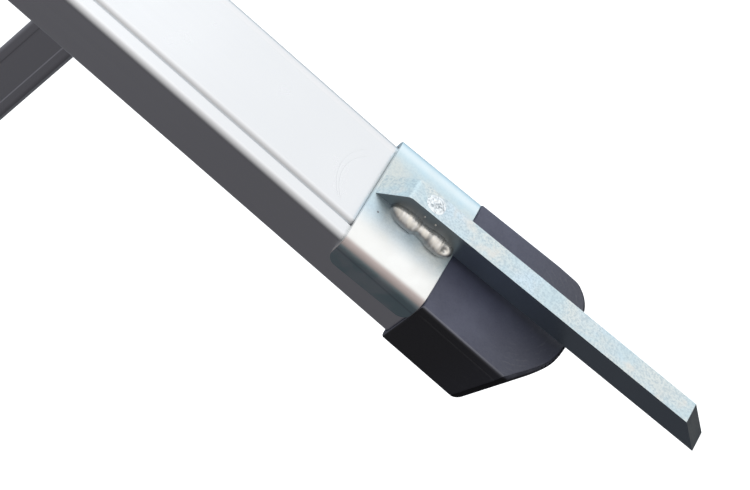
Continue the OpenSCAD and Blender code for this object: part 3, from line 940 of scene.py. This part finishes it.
def make_clamp_stud():
    """The stud: plain shank, then an M8 thread that runs out at a chamfered end."""
    pitch, depth, around = 1.25, 0.62, 40
    plain_end, chamfer = 8.0, 1.0
    heights = [STUD_LOW.y, plain_end - 1]
    count = round((STUD_HIGH.y - plain_end) / (pitch / 8))
    heights += [plain_end + (STUD_HIGH.y - plain_end) * k / count for k in range(count + 1)]
    rings = []
    for y in heights:
        ring = []
        for j in range(around):
            angle = math.tau * j / around
            phase = (y / pitch - j / around) % 1.0
            groove = max(0.0, 1 - abs(phase - 0.5) / 0.42) if y >= plain_end else 0.0
            fade = min(max((y - plain_end) / 2.0, 0), 1)
            radius = STUD_RADIUS - depth * groove * fade
            radius = min(radius, STUD_RADIUS - chamfer + max(STUD_HIGH.y - y, 0))
            ring.append(Vector((STUD_X + radius * math.sin(angle), y,
                                STUD_Z + radius * math.cos(angle))) * MM)
        rings.append(ring)
    dress(loft("stud_bar", rings), "stabilizer", "zinc_fastener", "clamp_stud", 40)


# ---------------------------------------------------------------- wing nut

def make_wing_nut():
    """A cast wing nut: hub and wings melted together, then bored."""
    around, turned = 48, math.radians(25)
    foot, top = 7.55, 6.3
    hub_high = NUT_LOW.y + 8.5
    rings = [[Vector((STUD_X + r * math.sin(math.tau * j / around), y,
                      STUD_Z + r * math.cos(math.tau * j / around))) * MM for j in range(around)]
             for r, y in ((foot, NUT_LOW.y), (foot, NUT_LOW.y + 1.2), (top, hub_high))]
    nut = loft("nut_casting", rings)
    wing = outline([(3.5, 1.0, 0), (13.6, 4.6, 4.5), (17.1, 9.2, 4.5), (15.8, 15.3, 4.2),
                    (8.4, 15.0, 3.6), (6.2, 8.3, 3.0), (3.5, 8.2, 0)], 6)
    for half in (0, math.pi):
        frame_of_wing = Matrix.Translation(Vector((STUD_X, NUT_LOW.y, STUD_Z)) * MM) \
            @ Matrix.Rotation(turned + half, 4, "Y")
        blade = prism("blade", [wing],
                      lambda u, v, w: frame_of_wing @ (Vector((u, v, w)) * MM), -1.6, 1.6)
        combine(nut, blade, "UNION")
    modify(nut, "REMESH", mode="VOXEL", voxel_size=0.36 * MM)
    modify(nut, "SMOOTH", factor=0.5, iterations=9)
    drill(nut, STUD_X, STUD_Z, STUD_RADIUS + 0.05, NUT_LOW.y - 2, NUT_HIGH.y + 2)
    dress(nut, "wing_nut", "zinc_fastener", "wing_nut", 40)


# ---------------------------------------------------------------- carried-over CAD nodes

def finish_cad_nodes():
    """Gives each CAD node that stays in view the material of its slot."""
    for row in frame["record"]["subparts"]:
        node = frame["nodes"][row["node"]]
        if not node.hide_render:
            node.data.materials.clear()
            node.data.materials.append(MATERIALS[row["material_slot"]])


# ---------------------------------------------------------------- surroundings

def make_camera():
    """A long lens looking down on the outer face, rolled so that the leg runs down to the right."""
    azimuth, elevation, roll = math.radians(42.416), math.radians(11.219), math.radians(-48.81)
    target = Vector((3.75, 14.3, -220.67)) * MM
    reach = 2.18
    back = Vector((-math.sin(azimuth) * math.cos(elevation),
                   -math.cos(azimuth) * math.cos(elevation), math.sin(elevation)))
    level = Vector((math.cos(azimuth), -math.sin(azimuth), 0))
    up = back.cross(level)
    right = math.cos(roll) * level + math.sin(roll) * up
    data = bpy.data.cameras.new("camera")
    data.lens = 240
    data.sensor_width = 36
    camera = bpy.data.objects.new("camera", data)
    turn = Matrix((right, back.cross(right), back)).transposed().to_4x4()
    camera.matrix_world = Matrix.Translation(target + reach * back) @ turn
    scene.collection.objects.link(camera)
    scene.camera = camera


def make_floor():
    """A pale round floor at the height of the spike's tip."""
    work = bmesh.new()
    bmesh.ops.create_circle(work, cap_ends=True, segments=96, radius=9.0)
    floor = to_object("floor", work)
    floor.location.z = cad_box[0].z - 0.0005
    s = Shader("pale_floor", Roughness=0.9)
    tone = s.noise(3, 3)
    s.colour(s.mix(tone, (0.93, 0.93, 0.93), (0.9, 0.9, 0.905)))
    s.surface.inputs["Emission Color"].default_value = (1, 1, 1, 1)
    s.surface.inputs["Emission Strength"].default_value = 0.9
    floor.data.materials.append(s.material)
    floor.visible_glossy = False
    floor.visible_diffuse = False


def make_surroundings():
    """Soft light all round, as a sum of broad lobes (direction, sharpness, colour)."""
    lobes = [
        ((-0.34, -0.94, -0.09), 1.5, (0.68, 0.67, 0.66)),
        ((0.66, -0.74, -0.09), 3.0, (0.86, 0.87, 0.88)),
        ((1.0, 0.0, 0.05), 6.0, (0.34, 0.42, 0.47)),
        ((0.60, -0.20, 0.77), 6.0, (0.84, 0.90, 0.93)),
        ((-0.10, 0.60, 0.80), 4.0, (0.20, 0.20, 0.22)),
        ((0.62, 0.75, 0.05), 6.0, (0.26, 0.27, 0.29)),
        ((-0.66, 0.72, -0.20), 3.0, (0.052, 0.048, 0.052)),
    ]
    world = bpy.data.worlds.new("surroundings")
    scene.world = world
    world.use_nodes = True
    tree = world.node_tree
    tree.nodes.clear()
    place = tree.nodes.new("ShaderNodeTexCoord").outputs["Generated"]
    light = None
    for direction, sharpness, colour in lobes:
        dot = tree.nodes.new("ShaderNodeVectorMath")
        dot.operation = "DOT_PRODUCT"
        dot.inputs[1].default_value = Vector(direction).normalized()
        tree.links.new(place, dot.inputs[0])
        fall = tree.nodes.new("ShaderNodeMath")
        fall.operation = "POWER"
        front = tree.nodes.new("ShaderNodeMath")
        front.operation = "MAXIMUM"
        front.inputs[1].default_value = 0.0
        tree.links.new(dot.outputs["Value"], front.inputs[0])
        tree.links.new(front.outputs[0], fall.inputs[0])
        fall.inputs[1].default_value = sharpness
        lobe = tree.nodes.new("ShaderNodeVectorMath")
        lobe.operation = "SCALE"
        lobe.inputs[0].default_value = colour
        tree.links.new(fall.outputs[0], lobe.inputs["Scale"])
        if light is None:
            light = lobe.outputs[0]
            continue
        total = tree.nodes.new("ShaderNodeVectorMath")
        total.operation = "ADD"
        tree.links.new(light, total.inputs[0])
        tree.links.new(lobe.outputs[0], total.inputs[1])
        light = total.outputs[0]
    base = tree.nodes.new("ShaderNodeVectorMath")
    base.operation = "ADD"
    base.inputs[1].default_value = (0.050, 0.052, 0.058)
    tree.links.new(light, base.inputs[0])
    lit = tree.nodes.new("ShaderNodeBackground")
    tree.links.new(base.outputs[0], lit.inputs["Color"])
    seen = tree.nodes.new("ShaderNodeBackground")
    seen.inputs["Color"].default_value = (1, 1, 1, 1)
    either = tree.nodes.new("ShaderNodeMixShader")
    rays = tree.nodes.new("ShaderNodeLightPath")
    tree.links.new(rays.outputs["Is Camera Ray"], either.inputs["Fac"])
    tree.links.new(lit.outputs[0], either.inputs[1])
    tree.links.new(seen.outputs[0], either.inputs[2])
    output = tree.nodes.new("ShaderNodeOutputWorld")
    tree.links.new(either.outputs[0], output.inputs["Surface"])


def make_key_light():
    """One large soft lamp, to the right of the camera and above."""
    data = bpy.data.lights.new("key", "AREA")
    data.shape = "DISK"
    data.size = 1.2
    data.energy = 0.7
    data.color = (1.0, 0.99, 0.97)
    lamp = bpy.data.objects.new("key", data)
    target = Vector((0, 0, -0.2))
    lamp.location = target + Vector((0.85, -0.95, 0.75))
    lamp.rotation_euler = (target - lamp.location).to_track_quat("-Z", "Y").to_euler()
    scene.collection.objects.link(lamp)


make_camera()
make_floor()
make_surroundings()
make_key_light()
make_stile()
make_rung()
make_shoe_body()
make_tread_sole()
make_bracket()
make_spike_bar()
make_welds()
make_plug_weld()
make_clamp_stud()
make_wing_nut()
finish_cad_nodes()
scene.view_settings.view_transform = "Standard"
